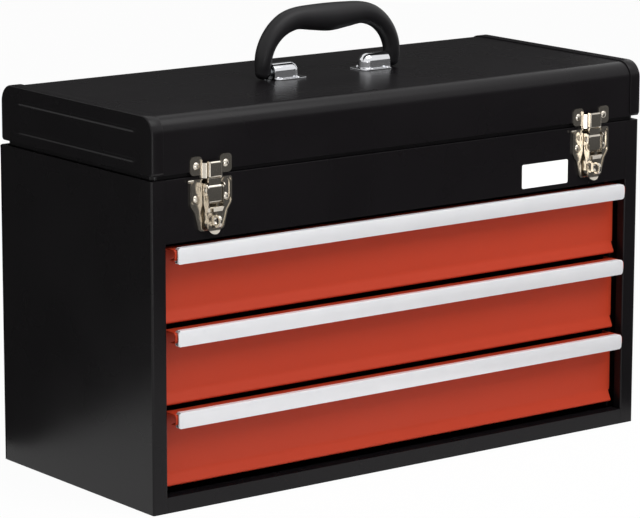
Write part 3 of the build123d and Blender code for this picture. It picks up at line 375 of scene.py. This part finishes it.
# The sheet's outline seen from the side, from the front's lower edge over the top to the back's.
outline = rounded(
    [(lid_front, lid_low), (lid_front, lid_top - CAP_SHEET), (lid_back, lid_top - CAP_SHEET),
     (lid_back, lid_low)],
    [0, LID_RADIUS - CAP_SHEET, LID_RADIUS - CAP_SHEET, 0],
    steps=14,
)
piece(
    "lid_skin",
    *along_x(sheet_section(outline, -LID_SHEET), [CAP_SHEET - lid_end, lid_end - CAP_SHEET]),
    black_coat,
    "lid",
    ("lid_sheet",),
    "painted_steel_black",
    bevel=0.15 * MM,
)


def bead_depth(y, z):
    """Depth of the pressed beads: a squared cosine of the distance from each bead's middle line,
    which falls in a straight line to nothing over the last few millimetres of its length."""
    across = np.stack([z - (lid_top - drop) for drop in BEAD_DROPS])
    away = np.clip(np.abs(across).min(0) / BEAD_HALF, 0, 1)
    along = np.abs(y - (lid_front + lid_back) / 2)
    fade = np.clip((BEAD_REACH - along) / BEAD_FADE, 0, 1)
    return BEAD_DEPTH * fade * np.cos(pi / 2 * away) ** 2


# The cap's outline, with its points evenly spaced along it, and the direction inwards at each.
rim = rounded(
    [(lid_front - CAP_SHEET, lid_low), (lid_front - CAP_SHEET, lid_top),
     (lid_back + CAP_SHEET, lid_top), (lid_back + CAP_SHEET, lid_low)],
    [CAP_HEEL, LID_RADIUS, LID_RADIUS, CAP_HEEL],
    closed=True,
    steps=12,
)
loop = np.r_[rim, rim[:1]]
length = np.r_[0, np.cumsum(np.linalg.norm(np.diff(loop, axis=0), axis=1))]
even = np.linspace(0, length[-1], RIM_POINTS, endpoint=False)
rim = np.c_[np.interp(even, length, loop[:, 0]), np.interp(even, length, loop[:, 1])]
ahead = np.roll(rim, -1, 0) - np.roll(rim, 1, 0)
inward = np.c_[ahead[:, 1], -ahead[:, 0]] / np.linalg.norm(ahead, axis=1)[:, None]

# The cap starts against the lid's sheet, runs over the flange's eased edge and along its outside, round
# the pressed edge, and in even steps over the end wall to its middle line. Each station is a depth
# behind the lid's end and a distance in from the rim.
flange = [(CAP_LAP, CAP_SHEET), (CAP_LAP, LAP_EDGE), (CAP_LAP - 0.3 * LAP_EDGE, 0.3 * LAP_EDGE),
          (CAP_LAP - LAP_EDGE, 0.0)]
pressed = [(CAP_EDGE * (1 - sin(a)), CAP_EDGE * (1 - cos(a))) for a in np.linspace(0, pi / 2, 7)]
rings = [
    np.c_[np.full(RIM_POINTS, lid_end - depth), rim + inward * back] for depth, back in flange + pressed
]
start = rim + inward * CAP_EDGE
spine_y = np.clip(rim[:, 0], lid_front + SPINE_INSET, lid_back - SPINE_INSET)
spine = np.c_[spine_y, np.full(RIM_POINTS, (lid_low + lid_top) / 2)]
for share in np.linspace(0, 1, WALL_RINGS + 1)[1:]:
    ring = start + (spine - start) * share
    rings.append(np.c_[lid_end - bead_depth(ring[:, 0], ring[:, 1]), ring])
for side, way in (("left", -1), ("right", 1)):
    piece(
        f"lid_cap_{side}",
        np.stack(rings) * (way, 1, 1),
        tube_faces(len(rings), RIM_POINTS, capped=False),
        black_coat,
        "lid",
        (f"lid_end_cap_{side}",),
        "painted_steel_black",
        sharp=60,
    )

# --- Hinge and stays -------------------------------------------------------------------------------
# Piano hinge riveted across the back, painted with the box; two slotted stays stop the lid when it
# stands up.
coat(black_coat, "hinge_leaf_cabinet", "hinge_leaf_lid")
coat(zinc_plate, "hinge_pin", "hinge_rivets_cabinet", "hinge_rivets_lid")
coat(zinc_plate, "lid_stay_left", "lid_stay_right", "stay_pivot_studs", "stay_guide_studs")

# --- Handle ----------------------------------------------------------------------------------------
# Bail moulded in tough black plastic with a swelling grip, on two steel studs that turn in chromed
# half-round saddles riveted to the lid.
chrome = plated_steel(
    "bright chrome plate", "#E4E5E8", "#D9DADD",
    low=0.05, high=0.11, cloud_size=6 * MM, wave=1.6 * MM, depth=0.012 * MM,
)
for node in ("handle_bracket_left", "handle_bracket_right", "handle_bracket_rivets"):
    softened(node, chrome, "lid", width=0.35 * MM)
coat(zinc_plate, "handle_studs")


def satin_plastic(name, colour, shade):
    """Plastic with an even satin skin and a fine grain."""
    grain_size, cloud_size = 0.5 * MM, 18 * MM
    material, tree, surface = new_material(name)
    place = add(tree, "TexCoord").outputs["Object"]
    grain = noise(tree, place, grain_size, detail=2.0)
    cloud = noise(tree, place, cloud_size, detail=2.0)
    plastic = add(
        tree,
        "BsdfPrincipled",
        {"Base Color": blend(tree, cloud, colour, shade), "IOR": 1.5, "Specular IOR Level": 0.3,
         "Roughness": between(tree, grain, 0.38, 0.52, start=0.0, end=1.0),
         "Normal": relief(tree, grain, strength=0.4, distance=0.03 * MM)},
    )
    tree.links.new(plastic.outputs["BSDF"], surface)
    return material


handle_plastic = satin_plastic("moulded black ABS", "#111012", "#151416")
studs_low, studs_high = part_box("handle_studs")
axis = (studs_low + studs_high) / 2   # the line that the bail turns on
BAIL_RINGS, FOOT_RINGS, RING_POINTS = 181, 7, 64
SQUARENESS = 0.94
# Sections of one half of the bail: place across, height over the studs, lean in degrees, half width
# in the bail's plane and half depth, in millimetres.
BAIL = np.array([
    (68.0, 0.0, 0, 6.8, 5.8), (67.9, 7.0, 0, 6.8, 7.2), (66.8, 14.5, 8, 7.0, 7.9),
    (63.7, 22.4, 20, 7.3, 8.2), (58.7, 29.6, 34, 7.8, 8.5), (52.3, 35.5, 47, 8.4, 8.8),
    (43.9, 40.2, 66, 9.0, 9.1), (33.1, 42.8, 88, 9.35, 9.4), (18.0, 42.4, 91.5, 10.7, 10.6),
    (0.0, 41.6, 90, 11.8, 11.5),
])


def smooth(points, t):
    """Points moved along a smooth curve: a cubic Hermite spline whose slopes join the neighbours."""
    slope = np.gradient(points, axis=0)
    i = np.clip(np.floor(t).astype(int), 0, len(points) - 2)
    u = (t - i)[:, None]
    a, b, c, d = points[i], points[i + 1], slope[i], slope[i + 1]
    return (
        (2 * u**3 - 3 * u**2 + 1) * a
        + (u**3 - 2 * u**2 + u) * c
        + (3 * u**2 - 2 * u**3) * b
        + (u**3 - u**2) * d
    )


falling = BAIL[-2::-1] * (-1, 1, -1, 1, 1) + (0, 0, 180, 0, 0)
stations = np.concatenate([BAIL, falling])
bend = smooth(stations, np.linspace(0, len(stations) - 1, BAIL_RINGS))
# Each foot closes as half an ellipsoid: its sections shrink as the cosine of an angle and sink as
# the sine.
sink = np.linspace(0, pi / 2, FOOT_RINGS + 2)[1:-1]
foot_place, _, _, foot_half, foot_deep = BAIL[0]
foot = np.stack([
    np.full(FOOT_RINGS, foot_place), -foot_deep * np.sin(sink), np.zeros(FOOT_RINGS),
    foot_half * np.cos(sink), foot_deep * np.cos(sink),
], -1)
other = foot * (-1, 1, 1, 1, 1) + (0, 0, 180, 0, 0)
place, height, lean, half, deep = np.concatenate([foot[::-1], bend, other]).T
# Around a section: an ellipse, slightly squared by raising its cosine and sine to a power under 1.
angle = np.linspace(0, 2 * pi, RING_POINTS, endpoint=False)
c, s = np.cos(angle), np.sin(angle)
c, s = np.sign(c) * np.abs(c) ** SQUARENESS, np.sign(s) * np.abs(s) ** SQUARENESS
tilt = np.radians(lean)
rings = np.empty((len(place), RING_POINTS, 3))
rings[..., 0] = (place + np.cos(tilt) * half * c[:, None]).T * MM
rings[..., 1] = axis.y + (deep * s[:, None]).T * MM
rings[..., 2] = axis.z + (height + np.sin(tilt) * half * c[:, None]).T * MM
piece(
    "bail",
    rings,
    tube_faces(len(rings), RING_POINTS),
    handle_plastic,
    "handle",
    ("handle_grip",),
    "moulded_plastic",
    sharp=50,
)

# --- Latches ---------------------------------------------------------------------------------------
# Draw latches pressed from steel and nickel plated: base with a raised rim, lever with cheeks and a
# slotted tail over the padlock eye, claw that hooks over the catch on the lid.
nickel = plated_steel(
    "bright nickel plate", "#CFC8BC", "#C3BBAF",
    low=0.12, high=0.20, cloud_size=5 * MM, wave=2.0 * MM, depth=0.012 * MM,
)
for side in ("left", "right"):
    for node, body, width in (
        ("latch_base", "cabinet", 0.42 * MM),
        ("padlock_staple", "cabinet", 0.4 * MM),
        ("latch_catch", "lid", 0.45 * MM),
        ("latch_lever", f"latch_{side}", 0.45 * MM),
        ("latch_claw", f"claw_{side}", 0.4 * MM),
    ):
        softened(f"{node}_{side}", nickel, body, width)
    coat(nickel, f"latch_claw_pin_{side}")
coat(nickel, "latch_base_rivets", "latch_pivot_rivets", "latch_catch_rivets")

# --- Plate -----------------------------------------------------------------------------------------
# Bare plate stuck to the header above the top drawer: a rectangle of white film with small round
# corners and a smooth satin skin.
white_film = satin_plastic("white satin film", "#F1F1F0", "#ECECEB")
coat(white_film, "header_plate")

# --- Floor, light and camera -----------------------------------------------------------------------
# The box stands on a white sweep in a plain studio: three large soft lamps over and in front of it,
# and cards that only reflections see, so that flat black paint stays dark and its edges shine.
AMBIENT = 0.35                # the world's strength as a light
FLOOR_GLOW = 0.96             # share of the floor that is plain white where it is seen
REACH = 12.0                  # half the side of the floor
scene = bpy.context.scene


def seen(tree):
    """1 on rays from the camera and on rays that metal or glass sends on, and 0 on all others."""
    path = add(tree, "LightPath").outputs
    either = add(
        tree, "Math", {0: path["Is Camera Ray"], 1: path["Is Glossy Ray"]}, operation="MAXIMUM"
    )
    inputs = {0: either.outputs[0], 1: path["Is Transmission Ray"]}
    return add(tree, "Math", inputs, operation="MAXIMUM").outputs[0]


world = bpy.data.worlds.new("studio")
scene.world = world
world.use_nodes = True
tree = world.node_tree
tree.nodes.clear()
strength = between(tree, seen(tree), AMBIENT, 1.0, start=0.0, end=1.0)
sky = add(tree, "Background", {"Color": (1, 1, 1, 1), "Strength": strength})
tree.links.new(sky.outputs[0], add(tree, "OutputWorld").inputs["Surface"])

floor_paint, tree, surface = new_material("white sweep")
share = add(tree, "Math", {0: seen(tree), 1: FLOOR_GLOW}, operation="MULTIPLY")
matt = add(tree, "BsdfDiffuse", {"Color": linear("#F2F2F2")})
glow = add(tree, "Emission", {"Color": (1, 1, 1, 1), "Strength": 1.0})
mixed = add(tree, "MixShader", {0: share.outputs[0], 1: matt.outputs[0], 2: glow.outputs[0]})
tree.links.new(mixed.outputs[0], surface)
sweep = bpy.data.meshes.new("sweep")
corners = [(-REACH, -REACH, 0), (REACH, -REACH, 0), (REACH, REACH, 0), (-REACH, REACH, 0)]
sweep.from_pydata(corners, [], [(0, 1, 2, 3)])
sweep.materials.append(floor_paint)
floor = bpy.data.objects.new("sweep", sweep)
scene.collection.objects.link(floor)


def soft_lamp(name, place, aim, size, power, glossy=False):
    """A rectangular soft lamp at a place, turned towards a point."""
    lamp = bpy.data.lights.new(name, "AREA")
    lamp.shape, lamp.size, lamp.size_y, lamp.energy = "RECTANGLE", size[0], size[1], power
    holder = bpy.data.objects.new(name, lamp)
    holder.location = place
    holder.rotation_euler = (Vector(aim) - Vector(place)).to_track_quat("-Z", "Y").to_euler()
    holder.visible_glossy = glossy
    scene.collection.objects.link(holder)


soft_lamp("overhead lamp", (0.1, -0.6, 1.6), (0, 0, 0.25), size=(1.6, 0.9), power=9, glossy=True)
soft_lamp("key lamp", (0.3, -1.5, 1.7), (0, 0, 0.15), size=(1.4, 0.9), power=26)
soft_lamp("front lamp", (0.9, -2.2, 0.7), (0, 0, 0.15), size=(1.2, 1.0), power=10)

CARD_RADIUS, CARD_FOOT = 1.0, 0.32    # standing cards, and inner edge of the cards on the floor
CARD_LIFT = 0.3 * MM
ARC_POINTS = 25


def arc(start, end, radius, height):
    """Points on a level arc round the box, between two bearings in degrees from the +X axis."""
    turn = np.radians(np.linspace(start, end, ARC_POINTS))
    return np.stack([np.cos(turn) * radius, np.sin(turn) * radius, np.full(ARC_POINTS, height)], -1)


def card(name, one, other, low, high, top=1.0):
    """A card between two arcs that only reflections see: its glow goes from low at the floor to high
    at the height called top."""
    glow, tree, surface = new_material(name)
    place = add(tree, "TexCoord").outputs["Object"]
    height = add(tree, "SeparateXYZ", {0: place}).outputs["Z"]
    shade = between(tree, height, low, high, start=0.0, end=top)
    light = add(tree, "Emission", {"Strength": shade})
    tree.links.new(light.outputs[0], surface)
    mesh = bpy.data.meshes.new(name)
    faces = tube_faces(2, ARC_POINTS, closed=False, capped=False)
    mesh.from_pydata(np.concatenate([one, other]).tolist(), [], faces)
    mesh.materials.append(glow)
    made = bpy.data.objects.new(name, mesh)
    scene.collection.objects.link(made)
    made.visible_camera = made.visible_diffuse = made.visible_shadow = made.visible_transmission = False


# These cards stand only where a flat painted face looks: the front to the right of the camera, the side
# to the left behind the box, the top straight behind. Rolled edges and rivets look past them.
for name, start, end, top, low, high in (
    ("grey card in front", -84, -24, 0.5, 0.10, 0.15),
    ("grey card at the side", 118, 156, 0.5, 0.08, 0.12),
    ("dark card behind", 32, 118, 1.15, 0.03, 0.08),
):
    wall_foot = arc(start, end, CARD_RADIUS, 0)
    card(name, wall_foot, arc(start, end, CARD_RADIUS, top), low, high, top)
    inner = arc(start, end, CARD_FOOT, CARD_LIFT)
    card(f"{name}, floor", inner, arc(start, end, CARD_RADIUS, CARD_LIFT), low, low)
# A small bright card on the camera's side of the box shows as a thin line on the lid's front corner.
bright_foot, bright_top = (arc(-128, -117, CARD_RADIUS, height) for height in (0, 0.35))
card("bright card at the left", bright_foot, bright_top, low=5, high=5)

# Place, bearing, tilt and focal length come from a fit to the corners of the cabinet in the picture.
PICTURE_WIDTH_PX = 640
FOCAL_LENGTH_PX = 3426.4
SENSOR_WIDTH = 36.0
CAMERA_PLACE = (-1.73364, -2.27279, 0.74889)
yaw, pitch, roll = radians(37.230), radians(11.666), radians(0.128)
camera = bpy.data.objects.new("camera", bpy.data.cameras.new("camera"))
scene.collection.objects.link(camera)
ahead = Vector((sin(yaw) * cos(pitch), cos(yaw) * cos(pitch), -sin(pitch)))
right = Vector((cos(yaw), -sin(yaw), 0))
up = right.cross(ahead)
right, up = cos(roll) * right + sin(roll) * up, cos(roll) * up - sin(roll) * right
turn = Matrix((right, up, -ahead)).transposed().to_4x4()
camera.matrix_world = Matrix.Translation(CAMERA_PLACE) @ turn
camera.data.sensor_width = SENSOR_WIDTH
camera.data.lens = SENSOR_WIDTH * FOCAL_LENGTH_PX / PICTURE_WIDTH_PX
scene.camera = camera
scene.view_settings.view_transform = "Standard"
